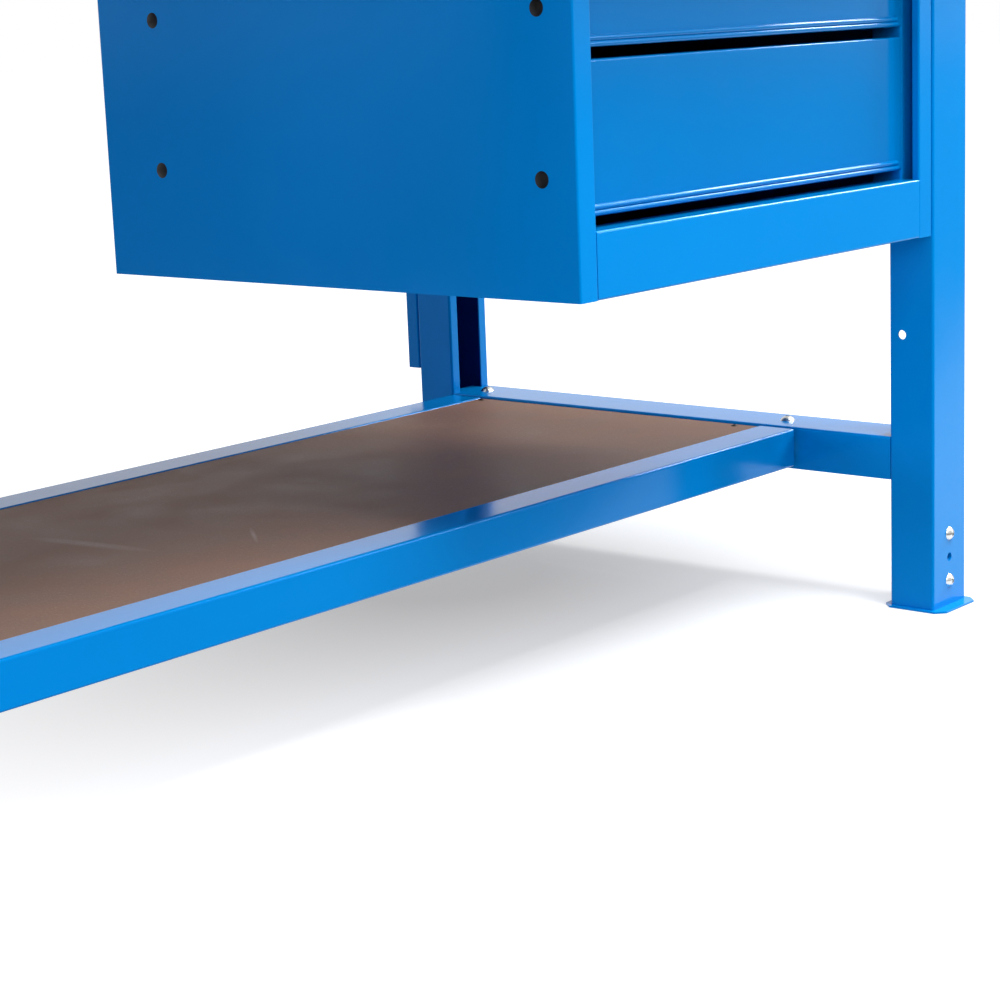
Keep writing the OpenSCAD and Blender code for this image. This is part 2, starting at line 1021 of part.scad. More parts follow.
module housing_front_rail() {
    color(paint)
        at_housing_side()
            translate([flange_w, 0, side_z])
                along_x(housing_w - 2 * flange_w)
                    c_section(front_lip, front_rail_foot, front_rail_h, housing_t, housing_r);
}

module housing_top_rail() {
    color(paint)
        at_housing_side()
            translate([flange_w, 0, opening_top])
                along_x(housing_w - 2 * flange_w)
                    c_section(top_rail_lip, top_rail_lip, top_rail_h, housing_t, housing_r);
}

// Upright channels that hold the slides in line with the flanges' edges
module slide_carriers() {
    color(paint)
        for (right = [false, true], y = [carrier_front_y, carrier_rear_y])
            at_housing_side(right)
                translate([housing_t, y - carrier_w / 2, housing_z + housing_t])
                    linear_extrude(housing_h - 3 * housing_t)
                        mirror([1, -1, 0])
                            channel(carrier_w, flange_w - housing_t, carrier_t, carrier_r);
}

// Push-in plugs over the holes beside the slides
module hole_plugs() {
    ball_r = (plug_head_d * plug_head_d / 4 + plug_head_h * plug_head_h) / (2 * plug_head_h);
    color(black)
        for (right = [false, true])
            at_housing_side(right)
                plug_places()
                    rotate([0, -90, 0]) {
                        intersection() {
                            translate([0, 0, plug_head_h - ball_r])
                                sphere(ball_r);
                            cylinder(h = plug_head_h, d = plug_head_d);
                        }
                        translate([0, 0, -plug_stem_l])
                            cylinder(h = plug_stem_l, d = plug_stem_d);
                    }
}

// Drawers and slides, numbered from the bottom

// Folded front with lips that hold the tray, and two beads along its lower edge
module drawer_front(i) {
    wide = housing_w - 2 * flange_w - 2 * side_gap;
    high = front_h(i);
    at_housing_side()
        translate([flange_w + side_gap, front_recess, front_z(i)]) {
            along_x(wide)
                mirror([1, -1, 0])
                    lipped(high, front_d, front_back_lip, housing_t, housing_r);
            for (x = [0, wide - housing_t])
                translate([x, 0, 0])
                    along_x(housing_t)
                        rounded(front_d, high, housing_r);
            for (z = [bead_r, bead_r + bead_pitch])
                translate([bead_end, 0, z])
                    rotate([0, 90, 0])
                        cylinder(h = wide - 2 * bead_end, r = bead_r);
        }
}

// Open box behind a front
module drawer_tray(i) {
    wide = housing_w - 2 * flange_w - 2 * slide_w;
    high = front_h(i) - tray_floor_up - tray_top_down;
    at_housing_side()
        translate([flange_w + slide_w, front_recess + front_d, front_z(i) + tray_floor_up])
            difference() {
                cube([wide, tray_l, high]);
                translate([tray_t, tray_t, tray_t])
                    cube([wide - 2 * tray_t, tray_l - 2 * tray_t, high]);
            }
}

// Places a slide's section, X away from the carrier and Z from its middle
module at_slide(i, right = false) {
    at_housing_side(right)
        translate([flange_w, front_recess + front_d + slide_front, slide_z(i)])
            along_y(slide_l)
                children();
}

module outer_section() {
    difference() {
        translate([0, -slide_h / 2])
            square([outer_lip, slide_h]);
        translate([slide_steel, slide_steel - slide_h / 2])
            square([outer_lip, slide_h - 2 * slide_steel]);
    }
}

// Middle member, whose thick edges stand for its rows of balls
module middle_section() {
    half = slide_h / 2 - slide_steel - slide_play;
    translate([middle_in, -half])
        square([slide_steel, 2 * half]);
    for (z = [-half, half - race_h])
        translate([middle_in, z])
            square([outer_lip - middle_in, race_h]);
}

module inner_section() {
    half = slide_h / 2 - slide_steel - race_h - 2 * slide_play;
    translate([slide_w - slide_steel, -half])
        square([slide_steel, 2 * half]);
    for (z = [-half, half - slide_steel])
        translate([inner_in, z])
            square([slide_w - inner_in, slide_steel]);
}

module slide_outer_left() {
    color(zinc)
        for (i = [0 : drawer_count - 1])
            at_slide(i)
                outer_section();
}

module slide_outer_right() {
    color(zinc)
        for (i = [0 : drawer_count - 1])
            at_slide(i, right = true)
                outer_section();
}

module slide_middle(i, right = false) {
    color(zinc)
        at_slide(i, right)
            middle_section();
}

module slide_inner(i, right = false) {
    color(zinc)
        at_slide(i, right)
            inner_section();
}

module drawer_front_1() { color(paint) drawer_front(0); }
module drawer_front_2() { color(paint) drawer_front(1); }
module drawer_front_3() { color(paint) drawer_front(2); }
module drawer_tray_1() { color(paint) drawer_tray(0); }
module drawer_tray_2() { color(paint) drawer_tray(1); }
module drawer_tray_3() { color(paint) drawer_tray(2); }
module slide_middle_left_1() { slide_middle(0); }
module slide_middle_left_2() { slide_middle(1); }
module slide_middle_left_3() { slide_middle(2); }
module slide_middle_right_1() { slide_middle(0, right = true); }
module slide_middle_right_2() { slide_middle(1, right = true); }
module slide_middle_right_3() { slide_middle(2, right = true); }
module slide_inner_left_1() { slide_inner(0); }
module slide_inner_left_2() { slide_inner(1); }
module slide_inner_left_3() { slide_inner(2); }
module slide_inner_right_1() { slide_inner(0, right = true); }
module slide_inner_right_2() { slide_inner(1, right = true); }
module slide_inner_right_3() { slide_inner(2, right = true); }

leg_front_right();
leg_rear_right();
leg_front_left();
leg_rear_left();
foot_front_right();
foot_rear_right();
foot_front_left();
foot_rear_left();
foot_screws();
lower_rail_right();
lower_rail_left();
upper_rail_right();
upper_rail_left();
rear_beam();
frame_bolts();
shelf_rail_front();
shelf_rail_rear();
shelf_bearers();
shelf_board();
shelf_board_screws();
shelf_hangers();
worktop_board();
worktop_hardboard();
worktop_edging();
worktop_screws();
post_right();
post_left();
tool_panel_lower();
tool_panel_upper();
tool_panel_screws();
housing_side_left();
housing_side_right();
housing_back();
housing_floor();
housing_front_rail();
housing_top_rail();
slide_carriers();
hole_plugs();
slide_outer_left();
slide_outer_right();
drawer_front_1();
drawer_front_2();
drawer_front_3();
drawer_tray_1();
drawer_tray_2();
drawer_tray_3();
slide_middle_left_1();
slide_middle_left_2();
slide_middle_left_3();
slide_middle_right_1();
slide_middle_right_2();
slide_middle_right_3();
slide_inner_left_1();
slide_inner_left_2();
slide_inner_left_3();
slide_inner_right_1();
slide_inner_right_2();
slide_inner_right_3();
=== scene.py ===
import math
import bpy
from mathutils import Matrix, Vector


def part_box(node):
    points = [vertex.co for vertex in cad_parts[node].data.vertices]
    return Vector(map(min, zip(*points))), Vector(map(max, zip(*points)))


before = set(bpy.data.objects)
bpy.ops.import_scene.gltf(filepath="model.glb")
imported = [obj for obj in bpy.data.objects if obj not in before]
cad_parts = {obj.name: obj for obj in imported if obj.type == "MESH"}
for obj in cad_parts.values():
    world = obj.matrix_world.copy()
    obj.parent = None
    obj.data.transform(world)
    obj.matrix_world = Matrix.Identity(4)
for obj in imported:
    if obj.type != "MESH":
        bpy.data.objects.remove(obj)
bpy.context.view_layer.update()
bpy.ops.object.select_all(action="DESELECT")

# The camera. The photograph is taken from the bench's left front, a little under the height of the
# worktop, with a long lens, so that the right-hand leg frame and the shelf fill the picture.
CAMERA_AT = (-1.45412, -1.52244, 0.64095)
CAMERA_YAW = math.radians(49.67840194)
CAMERA_PITCH = math.radians(-11.87378748)
CAMERA_ROLL = math.radians(-2.18843357)
FOCAL_PX = 2395.98252
PICTURE_PX = 1000
SENSOR_MM = 36
NEAREST_SEEN, FURTHEST_SEEN = 0.05, 60

ahead = Vector((
    math.sin(CAMERA_YAW) * math.cos(CAMERA_PITCH),
    math.cos(CAMERA_YAW) * math.cos(CAMERA_PITCH),
    math.sin(CAMERA_PITCH)))
level_right = Vector((math.cos(CAMERA_YAW), -math.sin(CAMERA_YAW), 0))
level_up = level_right.cross(ahead)
right = level_right * math.cos(CAMERA_ROLL) + level_up * math.sin(CAMERA_ROLL)
up = level_up * math.cos(CAMERA_ROLL) - level_right * math.sin(CAMERA_ROLL)
lens = bpy.data.cameras.new("camera")
lens.sensor_width = SENSOR_MM
lens.lens = FOCAL_PX / PICTURE_PX * SENSOR_MM
lens.clip_start, lens.clip_end = NEAREST_SEEN, FURTHEST_SEEN
camera = bpy.data.objects.new("camera", lens)
camera.matrix_world = Matrix.Translation(CAMERA_AT) @ Matrix((right, up, -ahead)).transposed().to_4x4()
bpy.context.scene.collection.objects.link(camera)
bpy.context.scene.camera = camera

# The two leg frames. Each leg is a lipped C-profile rolled from 2 mm steel, with cross rails of the
# same sheet welded between the legs and a folded beam at the rear. After welding the frames are
# degreased, sprayed with blue polyester powder and baked, so all of it is one even glossy skin.


def linear(code):
    """An sRGB hex colour as the linear values that a shader takes."""
    parts = [int(code[i:i + 2], 16) / 255 for i in (1, 3, 5)]
    return tuple(c / 12.92 if c <= 0.04045 else ((c + 0.055) / 1.055) ** 2.4 for c in parts) + (1,)


def every(millimetres):
    """The scale of a pattern whose spots, lines or grains are this far apart."""
    return 1000 / millimetres


def add(tree, kind, settings=None, links=None):
    """Adds one node: settings go to its own options or to its sockets, links to its sockets."""
    node = tree.nodes.new(kind)
    for name, value in (settings or {}).items():
        if isinstance(name, str) and hasattr(node, name):
            setattr(node, name, value)
        else:
            node.inputs[name].default_value = value
    for name, source in (links or {}).items():
        tree.links.new(source, node.inputs[name])
    return node


def new_finish(name, settings=None):
    """An empty finish: its material, its node tree, its surface shader and its object coordinates."""
    made = bpy.data.materials.new(name)
    made.use_nodes = True
    tree = made.node_tree
    tree.nodes.clear()
    surface = add(tree, "ShaderNodeBsdfPrincipled", settings)
    add(tree, "ShaderNodeOutputMaterial", links={"Surface": surface.outputs["BSDF"]})
    place = add(tree, "ShaderNodeTexCoord").outputs["Object"]
    return made, tree, surface, place


def lay_on(tree, surface, colour, gloss, bump):
    """Joins a finish's colour, gloss and relief to its surface shader."""
    tree.links.new(colour.outputs["Color"], surface.inputs["Base Color"])
    tree.links.new(gloss.outputs["Result"], surface.inputs["Roughness"])
    tree.links.new(bump.outputs["Normal"], surface.inputs["Normal"])


def coat(names, finish):
    """Gives CAD nodes their finish."""
    for name in names:
        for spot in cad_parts[name].material_slots:
            spot.material = finish


# Glossy polyester powder coat on steel. The melt leaves a faint orange peel of about 2.5 mm, which breaks up
# reflections. Along edges and bends the colour is painted lighter in patches: partly for the film that thins over cut
# edges, partly as a painted highlight along the bends.
BLUE = linear("#0085D1")
BLUE_DEEPER = linear("#0080CA")
BLUE_EDGE_WEAR_AND_HIGHLIGHT = linear("#2E9FE4")
POWDER_SHEEN = linear("#0098FF")
POWDER_IOR = 1.41
SPRAY_CLOUD_MM = 143
PEEL_MM = 2.5
PEEL_HEIGHT = 0.00004
HANDLING_MARK_MM = 35.7
EDGE_WEAR_AND_HIGHLIGHT_RADIUS = 0.0007


def powder_coat(name, light, deep, edge_wear_and_highlight):
    """Polyester powder coat in two close tones, with a third, lighter one painted along edges and bends, partly as
    the thinner film over cut edges and partly as a painted highlight.
    """
    made, tree, surface, place = new_finish(name, {"IOR": POWDER_IOR, "Specular Tint": POWDER_SHEEN})
    cloudy = add(tree, "ShaderNodeTexNoise", {"Scale": every(SPRAY_CLOUD_MM), "Detail": 3.0}, {"Vector": place})
    peel = add(tree, "ShaderNodeTexNoise", {"Scale": every(PEEL_MM), "Detail": 1.5, "Roughness": 0.4}, {
        "Vector": place})
    rub = add(tree, "ShaderNodeTexNoise", {"Scale": every(HANDLING_MARK_MM), "Detail": 5.0, "Roughness": 0.7}, {
        "Vector": place})
    tone = add(tree, "ShaderNodeMixRGB", {"Color1": light, "Color2": deep}, {"Fac": cloudy.outputs["Fac"]})
    # Painted highlight and thinner film: where the rounded normal turns away from the flat one, at edges and bends,
    # the colour is mixed towards the lighter blue in rub-noise patches.
    rounded = add(tree, "ShaderNodeBevel", {"samples": 4, "Radius": EDGE_WEAR_AND_HIGHLIGHT_RADIUS})
    flat = add(tree, "ShaderNodeNewGeometry")
    turned = add(tree, "ShaderNodeVectorMath", {"operation": "DOT_PRODUCT"}, {
        0: rounded.outputs["Normal"], 1: flat.outputs["Normal"]})
    edge = add(tree, "ShaderNodeMapRange", {"From Min": 0.99, "From Max": 0.86, "To Min": 0.0, "To Max": 0.55}, {
        "Value": turned.outputs["Value"]})
    thin = add(tree, "ShaderNodeMath", {"operation": "MULTIPLY"}, {
        0: edge.outputs["Result"], 1: rub.outputs["Fac"]})
    colour = add(tree, "ShaderNodeMixRGB", {"Color2": edge_wear_and_highlight}, {
        "Color1": tone.outputs["Color"], "Fac": thin.outputs["Value"]})
    gloss = add(tree, "ShaderNodeMapRange", {"From Min": 0.3, "From Max": 0.7, "To Min": 0.11, "To Max": 0.18}, {
        "Value": rub.outputs["Fac"]})
    bump = add(tree, "ShaderNodeBump", {"Strength": 0.3, "Distance": PEEL_HEIGHT}, {"Height": peel.outputs["Fac"]})
    lay_on(tree, surface, colour, gloss, bump)
    return made, tree, surface, place, colour


powder = powder_coat("polyester powder coat, gloss blue", BLUE, BLUE_DEEPER, BLUE_EDGE_WEAR_AND_HIGHLIGHT)[0]
coat(["lower_rail_right", "lower_rail_left", "upper_rail_right", "upper_rail_left", "rear_beam"], powder)

# Inside a leg's narrow profile the colour is painted a dark blue: painted shade in the hollow. A leg's hollow is its
# outside less its sheet, of which a tenth of a millimetre is left in, so that the hollow's own walls are dark too.
SHADE_IN_HOLLOW = linear("#00367A")
LEG_SHEET = 0.002 - 0.0001
front_low, front_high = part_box("leg_front_right")
rear_low, rear_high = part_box("leg_rear_right")
hollow_middle_x = (front_low.x + front_high.x) / 2
hollow_half_x = (front_high.x - front_low.x) / 2 - LEG_SHEET
between_legs_y = (front_low.y + rear_high.y) / 2
hollow_apart_y = (rear_low.y + rear_high.y) / 2 - between_legs_y
hollow_half_y = (rear_high.y - rear_low.y) / 2 - LEG_SHEET
leg_powder, tree, surface, place, colour = powder_coat(
    "polyester powder coat, painted shade inside the profile", BLUE, BLUE_DEEPER, BLUE_EDGE_WEAR_AND_HIGHLIGHT)
axes = add(tree, "ShaderNodeSeparateXYZ", links={"Vector": place})
across = add(tree, "ShaderNodeMath", {"operation": "ABSOLUTE"}, {0: axes.outputs["X"]})
across = add(tree, "ShaderNodeMath", {"operation": "COMPARE", 1: hollow_middle_x, 2: hollow_half_x}, {
    0: across.outputs["Value"]})
along = add(tree, "ShaderNodeMath", {"operation": "SUBTRACT", 1: between_legs_y}, {0: axes.outputs["Y"]})
along = add(tree, "ShaderNodeMath", {"operation": "ABSOLUTE"}, {0: along.outputs["Value"]})
along = add(tree, "ShaderNodeMath", {"operation": "COMPARE", 1: hollow_apart_y, 2: hollow_half_y}, {
    0: along.outputs["Value"]})
inside = add(tree, "ShaderNodeMath", {"operation": "MULTIPLY"}, {
    0: across.outputs["Value"], 1: along.outputs["Value"]})
# Painted shade: inside the hollow the colour is mixed to the dark blue.
colour = add(tree, "ShaderNodeMixRGB", {"Color2": SHADE_IN_HOLLOW}, {
    "Color1": colour.outputs["Color"], "Fac": inside.outputs["Value"]})
tree.links.new(colour.outputs["Color"], surface.inputs["Base Color"])
coat(["leg_front_right", "leg_rear_right", "leg_front_left", "leg_rear_left"], leg_powder)

# Screws and bolts: button heads at the feet, domed heads in the cross rails, countersunk wood screws
# in the panels. All are cold-headed steel, plated with bright zinc in a barrel, which leaves cloudy
# tones. The plating's own crystals are far finer, and are drawn coarser here so that they show.
ZINC = linear("#C6CBD0")
ZINC_WARM = linear("#D2CFC4")
PLATING_CLOUD_MM = 11.1
PLATING_GRAIN_MM = 0.67
PLATING_GRAIN_HEIGHT = 0.00002
zinc, tree, surface, place = new_finish("bright zinc plate on steel", {"Metallic": 1.0})
cloudy = add(tree, "ShaderNodeTexNoise", {"Scale": every(PLATING_CLOUD_MM), "Detail": 4.0}, {"Vector": place})
tone = add(tree, "ShaderNodeMixRGB", {"Color1": ZINC, "Color2": ZINC_WARM}, {"Fac": cloudy.outputs["Fac"]})
gloss = add(tree, "ShaderNodeMapRange", {"To Min": 0.2, "To Max": 0.36}, {"Value": cloudy.outputs["Fac"]})
grain = add(tree, "ShaderNodeTexNoise", {"Scale": every(PLATING_GRAIN_MM), "Detail": 2.0}, {"Vector": place})
bump = add(tree, "ShaderNodeBump", {"Strength": 0.2, "Distance": PLATING_GRAIN_HEIGHT}, {
    "Height": grain.outputs["Fac"]})
lay_on(tree, surface, tone, gloss, bump)
coat(["foot_screws", "frame_bolts", "worktop_screws", "tool_panel_screws"], zinc)

# The feet: a laser-cut plate with cut corners and a folded bracket that slides up inside the leg,
# bent, welded and coated with the same powder, and screwed to the leg hole by hole.
coat(["foot_front_right", "foot_rear_right", "foot_front_left", "foot_rear_left"], powder)

# The shelf: two rolled rails with an upper flange, cross bearers under the panel and cranked hangers
# that are screwed to the tops of the lower cross rails, all powder coated with the frames.
coat(["shelf_rail_front", "shelf_rail_rear", "shelf_bearers", "shelf_hangers"], powder)

# The shelf panel is 6 mm hardboard, pressed from wet wood fibre, smooth side up. Up close it shows
# short fibres and specks a millimetre or two long; from afar it is cloudy brown with a waxy sheen.
BOARD_DARK = linear("#806151")
BOARD_LIGHT = linear("#8F6E5D")
FIBRE = linear("#A88D7C")
SCUFF = linear("#CDBEB2")
BOARD_IOR = 1.18
BOARD_CLOUD_MM = 62.5
FIBRE_MM = 1.11
FIBRE_HEIGHT = 0.0001
FIBRES_LIE = (0, 0, 0.5)
FIBRES_ARE_LONG = (1.0, 0.35, 1.0)
hardboard, tree, surface, place = new_finish("hardboard, smooth waxed side", {"IOR": BOARD_IOR})
cloudy = add(tree, "ShaderNodeTexNoise", {"Scale": every(BOARD_CLOUD_MM), "Detail": 5.0, "Roughness": 0.6}, {
    "Vector": place})
stretch = add(tree, "ShaderNodeMapping", {"Scale": FIBRES_ARE_LONG, "Rotation": FIBRES_LIE}, {"Vector": place})
fibres = add(tree, "ShaderNodeTexNoise", {
    "Scale": every(FIBRE_MM), "Detail": 4.0, "Roughness": 0.65, "Distortion": 0.8}, {
    "Vector": stretch.outputs["Vector"]})
broad = add(tree, "ShaderNodeMapRange", {"From Min": 0.35, "From Max": 0.65}, {"Value": cloudy.outputs["Fac"]})
speck = add(tree, "ShaderNodeMapRange", {"From Min": 0.54, "From Max": 0.72, "To Max": 0.7}, {
    "Value": fibres.outputs["Fac"]})
tone = add(tree, "ShaderNodeMixRGB", {"Color1": BOARD_DARK, "Color2": BOARD_LIGHT}, {"Fac": broad.outputs["Result"]})
colour = add(tree, "ShaderNodeMixRGB", {"Color2": FIBRE}, {
    "Color1": tone.outputs["Color"], "Fac": speck.outputs["Result"]})

# Where boxes were dragged over the shelf: each scuff's middle in metres, its turn in degrees, and its
# half length and half width. Its rim is ragged because the scrape only takes the tops of the fibres.
SCUFFS = [((-0.108, 0.099), -81.0, 0.075, 0.011), ((-0.006, -0.004), 51.0, 0.036, 0.0028)]
SCUFF_RIM_MM = 3.85
shelf_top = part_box("shelf_board")[1].z
ragged = add(tree, "ShaderNodeTexNoise", {"Scale": every(SCUFF_RIM_MM), "Detail": 3.0, "Roughness": 0.7}, {
    "Vector": place})
for middle, turn, half_length, half_width in SCUFFS:
    turned_by = math.radians(turn)
    centred = add(tree, "ShaderNodeVectorMath", {"operation": "SUBTRACT", 1: (*middle, shelf_top)}, {0: place})
    along_it = (math.cos(turned_by) / half_length, math.sin(turned_by) / half_length, 0.0)
    across_it = (-math.sin(turned_by) / half_width, math.cos(turned_by) / half_width, 0.0)
    off_the_board = (0.0, 0.0, 1 / half_length)
    away = [
        add(tree, "ShaderNodeVectorMath", {"operation": "DOT_PRODUCT", 1: direction}, {0: centred.outputs["Vector"]})
        for direction in (along_it, across_it, off_the_board)]
    spot = add(tree, "ShaderNodeCombineXYZ", links={
        axis: part.outputs["Value"] for axis, part in zip("XYZ", away)})
    reach = add(tree, "ShaderNodeVectorMath", {"operation": "LENGTH"}, {0: spot.outputs["Vector"]})
    inside = add(tree, "ShaderNodeMapRange", {"From Min": 1.0, "From Max": 0.0, "To Max": 0.75}, {
        "Value": reach.outputs["Value"]})
    scraped = add(tree, "ShaderNodeMath", {"operation": "MULTIPLY", "use_clamp": True}, {
        0: inside.outputs["Result"], 1: ragged.outputs["Fac"]})
    colour = add(tree, "ShaderNodeMixRGB", {"Color2": SCUFF}, {
        "Color1": colour.outputs["Color"], "Fac": scraped.outputs["Value"]})
gloss = add(tree, "ShaderNodeMapRange", {"From Min": 0.3, "From Max": 0.7, "To Min": 0.45, "To Max": 0.6}, {
    "Value": cloudy.outputs["Fac"]})
bump = add(tree, "ShaderNodeBump", {"Strength": 0.4, "Distance": FIBRE_HEIGHT}, {"Height": fibres.outputs["Fac"]})
lay_on(tree, surface, colour, gloss, bump)
coat(["shelf_board", "worktop_hardboard"], hardboard)

# The panel's own screws: small flat heads of black phosphated steel, oiled, with a dull gleam. The
# phosphate's crystals are finer than a picture shows, so they are drawn at two thirds of a millimetre.
PHOSPHATE_BLACK = linear("#2A2724")
PHOSPHATE_GREY = linear("#46413C")
CRYSTAL_MM = 0.67
CRYSTAL_HEIGHT = 0.00003
black, tree, surface, place = new_finish("black phosphated steel, oiled", {"Metallic": 1.0})
grain = add(tree, "ShaderNodeTexNoise", {"Scale": every(CRYSTAL_MM), "Detail": 3.0}, {"Vector": place})
tone = add(tree, "ShaderNodeMixRGB", {"Color1": PHOSPHATE_BLACK, "Color2": PHOSPHATE_GREY}, {
    "Fac": grain.outputs["Fac"]})
gloss = add(tree, "ShaderNodeMapRange", {"To Min": 0.3, "To Max": 0.5}, {"Value": grain.outputs["Fac"]})
bump = add(tree, "ShaderNodeBump", {"Strength": 0.2, "Distance": CRYSTAL_HEIGHT}, {"Height": grain.outputs["Fac"]})
lay_on(tree, surface, tone, gloss, bump)
coat(["shelf_board_screws"], black)

# The drawer housing is folded from 1.2 mm sheet: two sides with flanged edges, a back, a floor, two
# front rails and the uprights that carry the slides, spot welded and coated with the same powder.
coat([
    "housing_side_left", "housing_side_right", "housing_back", "housing_floor",
    "housing_front_rail", "housing_top_rail", "slide_carriers"], powder)

# Domed plugs of black moulded polyethylene snap into the holes of the housing's sides. The mould's
# spark-eroded skin leaves a fine satin grain.
PLUG_DARK = linear("#08080A")
PLUG_LIGHT = linear("#121214")
PLUG_IOR = 1.3
MOULD_GRAIN_MM = 0.83
MOULD_GRAIN_HEIGHT = 0.00003
plugs, tree, surface, place = new_finish("moulded polyethylene, black", {"IOR": PLUG_IOR})
grain = add(tree, "ShaderNodeTexNoise", {"Scale": every(MOULD_GRAIN_MM), "Detail": 2.0}, {"Vector": place})
tone = add(tree, "ShaderNodeMixRGB", {"Color1": PLUG_DARK, "Color2": PLUG_LIGHT}, {"Fac": grain.outputs["Fac"]})
gloss = add(tree, "ShaderNodeMapRange", {"To Min": 0.35, "To Max": 0.5}, {"Value": grain.outputs["Fac"]})
bump = add(tree, "ShaderNodeBump", {"Strength": 0.2, "Distance": MOULD_GRAIN_HEIGHT}, {
    "Height": grain.outputs["Fac"]})
lay_on(tree, surface, tone, gloss, bump)
coat(["hole_plugs"], plugs)

# Three drawers, each a folded tray with a roll-formed front whose double bead along the lower edge serves as the
# grip. Front and tray are riveted together and powder coated; their colour is set a deeper blue than the housing's.
DRAWER_BLUE = linear("#0078BE")
DRAWER_BLUE_DEEPER = linear("#0073B8")
front_powder = powder_coat(
    "polyester powder coat, deeper blue of the drawers", DRAWER_BLUE, DRAWER_BLUE_DEEPER, BLUE_EDGE_WEAR_AND_HIGHLIGHT)[0]
coat([f"drawer_{part}_{number}" for part in ("front", "tray") for number in (1, 2, 3)], front_powder)

# Full-extension slides: an outer, a middle and an inner member for each side of each drawer, roll
# formed from strip that is already galvanised, so they show lengthwise drawing lines, the zinc's
# spangle and a dull shine. The lines are drawn about a millimetre apart, coarser than the real ones.
SLIDE_DULL = linear("#B9BEC2")
SLIDE_BRIGHT = linear("#CFD2D4")
DRAWING_LINE_MM = 1.11
DRAWING_LINE_HEIGHT = 0.00002
LINES_ARE_LONG = (1.0, 0.02, 1.0)
SPANGLE_MM = 6.25
strip, tree, surface, place = new_finish("galvanised strip, roll formed", {"Metallic": 1.0})
lines = add(tree, "ShaderNodeMapping", {"Scale": LINES_ARE_LONG}, {"Vector": place})
drawn = add(tree, "ShaderNodeTexNoise", {"Scale": every(DRAWING_LINE_MM), "Detail": 3.0}, {
    "Vector": lines.outputs["Vector"]})
spangle = add(tree, "ShaderNodeTexVoronoi", {"Scale": every(SPANGLE_MM)}, {"Vector": place})
tone = add(tree, "ShaderNodeMixRGB", {"Color1": SLIDE_DULL, "Color2": SLIDE_BRIGHT}, {
    "Fac": spangle.outputs["Distance"]})
gloss = add(tree, "ShaderNodeMapRange", {"To Min": 0.25, "To Max": 0.45}, {"Value": drawn.outputs["Fac"]})
bump = add(tree, "ShaderNodeBump", {"Strength": 0.15, "Distance": DRAWING_LINE_HEIGHT}, {
    "Height": drawn.outputs["Fac"]})
lay_on(tree, surface, tone, gloss, bump)
coat(["slide_outer_left", "slide_outer_right"], strip)
coat([
    f"slide_{part}_{side}_{number}"
    for part in ("middle", "inner") for side in ("left", "right") for number in (1, 2, 3)], strip)

# The worktop: a chipboard core of pressed flakes a few millimetres across, under a hardboard skin
# that can be turned over when worn.
CHIP_DARK = linear("#A5854F")
CHIP_LIGHT = linear("#D9C193")
CHIP_SHADE = linear("#C9B089")
FLAKE_MM = 3.85
FLAKE_HEIGHT = 0.0003
CHIP_DUST_MM = 2
chipboard, tree, surface, place = new_finish("raw chipboard")
flakes = add(tree, "ShaderNodeTexVoronoi", {"Scale": every(FLAKE_MM)}, {"Vector": place})
fine = add(tree, "ShaderNodeTexNoise", {"Scale": every(CHIP_DUST_MM), "Detail": 4.0}, {"Vector": place})
tone = add(tree, "ShaderNodeMixRGB", {"Color1": CHIP_DARK, "Color2": CHIP_LIGHT}, {"Fac": flakes.outputs["Color"]})
colour = add(tree, "ShaderNodeMixRGB", {"blend_type": "MULTIPLY", "Color2": CHIP_SHADE}, {
    "Color1": tone.outputs["Color"], "Fac": fine.outputs["Fac"]})
gloss = add(tree, "ShaderNodeMapRange", {"To Min": 0.65, "To Max": 0.85}, {"Value": fine.outputs["Fac"]})
bump = add(tree, "ShaderNodeBump", {"Strength": 0.5, "Distance": FLAKE_HEIGHT}, {
    "Height": flakes.outputs["Distance"]})
lay_on(tree, surface, colour, gloss, bump)
coat(["worktop_board"], chipboard)

# The worktop's edging: a band of dark ABS, ironed on all round. Its embossed grain is finer than a
# picture shows, so it is drawn at 0.7 mm.
EDGING_DARK = linear("#1E1F21")
EDGING_LIGHT = linear("#2A2B2E")
EMBOSSING_MM = 0.71
EMBOSSING_HEIGHT = 0.00005
EDGING_CLOUD_MM = 33.3
edging, tree, surface, place = new_finish("ABS edging, fine matt grain")
grain = add(tree, "ShaderNodeTexNoise", {"Scale": every(EMBOSSING_MM), "Detail": 3.0}, {"Vector": place})
cloudy = add(tree, "ShaderNodeTexNoise", {"Scale": every(EDGING_CLOUD_MM), "Detail": 3.0}, {"Vector": place})
tone = add(tree, "ShaderNodeMixRGB", {"Color1": EDGING_DARK, "Color2": EDGING_LIGHT}, {"Fac": cloudy.outputs["Fac"]})
gloss = add(tree, "ShaderNodeMapRange", {"To Min": 0.45, "To Max": 0.6}, {"Value": cloudy.outputs["Fac"]})
bump = add(tree, "ShaderNodeBump", {"Strength": 0.3, "Distance": EMBOSSING_HEIGHT}, {"Height": grain.outputs["Fac"]})
lay_on(tree, surface, tone, gloss, bump)
coat(["worktop_edging"], edging)

# Posts behind the rear legs and the two punched tool panels between them, folded from sheet, bolted
# and screwed on, and coated as the rest.
coat(["post_right", "post_left", "tool_panel_lower", "tool_panel_upper"], powder)

